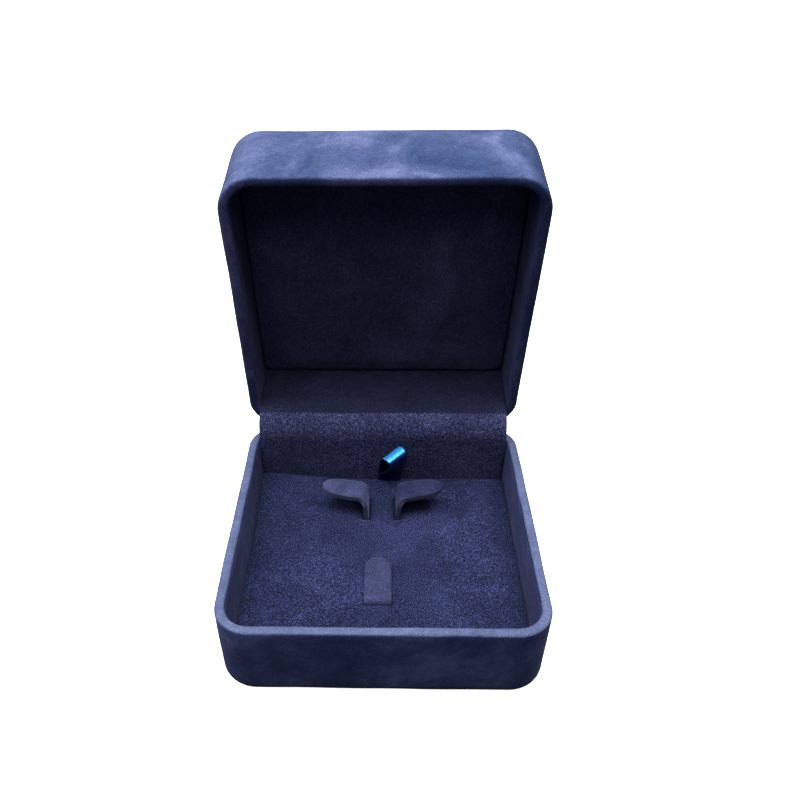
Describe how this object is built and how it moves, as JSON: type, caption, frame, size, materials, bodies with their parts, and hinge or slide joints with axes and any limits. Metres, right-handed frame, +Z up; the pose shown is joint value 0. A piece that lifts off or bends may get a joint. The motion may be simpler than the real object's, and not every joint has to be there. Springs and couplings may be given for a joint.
{
  "type": "ring box",
  "caption": "Hinged square jewellery box in suede with a removable pad, two pendant flaps, a ring tab and a ribbon pull, standing open.",
  "frame": {"origin": "centre of the underside, on the surface the box stands on", "axes": "+Z up, +Y towards the hinge at the back, -Y out of the front, +X to the right seen from the front"},
  "size_m": [0.07, 0.0931, 0.0927],
  "materials": {
    "suede": "brushed suede, mottled nap",
    "lining": "short grained suede",
    "board": "moulded, matt black",
    "card": "grey card",
    "foam": "dark foam",
    "steel": "bright zinc plated",
    "ribbon": "satin"
  },
  "bodies": {
    "base": {"base_shell": "board", "base_wrap": "suede", "base_lining": "lining", "underside_sheet": "suede", "hinge_leaf_lower": "steel", "hinge_pin": "steel", "snap_spring_left": "steel", "snap_spring_right": "steel", "rivet_lower_left": "steel", "rivet_lower_right": "steel", "bridge_lower": "lining", "bridge_fold": "lining", "spacer_lower": "foam"},
    "lid": {"lid_shell": "board", "lid_wrap": "suede", "lid_lining": "lining", "lid_pad_board": "card", "lid_pad_foam": "foam", "lid_pad_cover": "lining", "hinge_leaf_upper": "steel", "rivet_upper_left": "steel", "rivet_upper_right": "steel", "bridge_upper": "lining", "spacer_upper": "foam"},
    "pad": {"pad_board": "card", "pad_foam": "foam", "pad_cover": "lining", "ribbon_loop": "ribbon"},
    "left_flap": {"flap_left": "suede"},
    "right_flap": {"flap_right": "suede"},
    "tab": {"ring_tab": "suede"}
  },
  "joints": [
    {"name": "lid_hinge", "type": "hinge", "parent": "base", "child": "lid", "pos_m": [0, 0.0349, 0.0205], "axis": [1, 0, 0], "range_deg": [0, 81.4], "deforming": ["bridge_fold"]},
    {"name": "pad_lift", "type": "slide", "parent": "base", "child": "pad", "axis": [0, 0, 1], "range_m": [0, 0.012]},
    {"name": "left_flap_bend", "type": "hinge", "parent": "pad", "child": "left_flap", "pos_m": [-0.0039, 0.015, 0.0083], "axis": [0, 1, 0], "range_deg": [-6, 25], "stiffness_Nm_per_rad": 0.01},
    {"name": "right_flap_bend", "type": "hinge", "parent": "pad", "child": "right_flap", "pos_m": [0.0039, 0.015, 0.0083], "axis": [0, -1, 0], "range_deg": [-6, 25], "stiffness_Nm_per_rad": 0.01},
    {"name": "ring_tab_bend", "type": "hinge", "parent": "pad", "child": "tab", "pos_m": [-0.001, -0.017, 0.0083], "axis": [1, 0, 0], "range_deg": [0, 35], "stiffness_Nm_per_rad": 0.01}
  ]
}
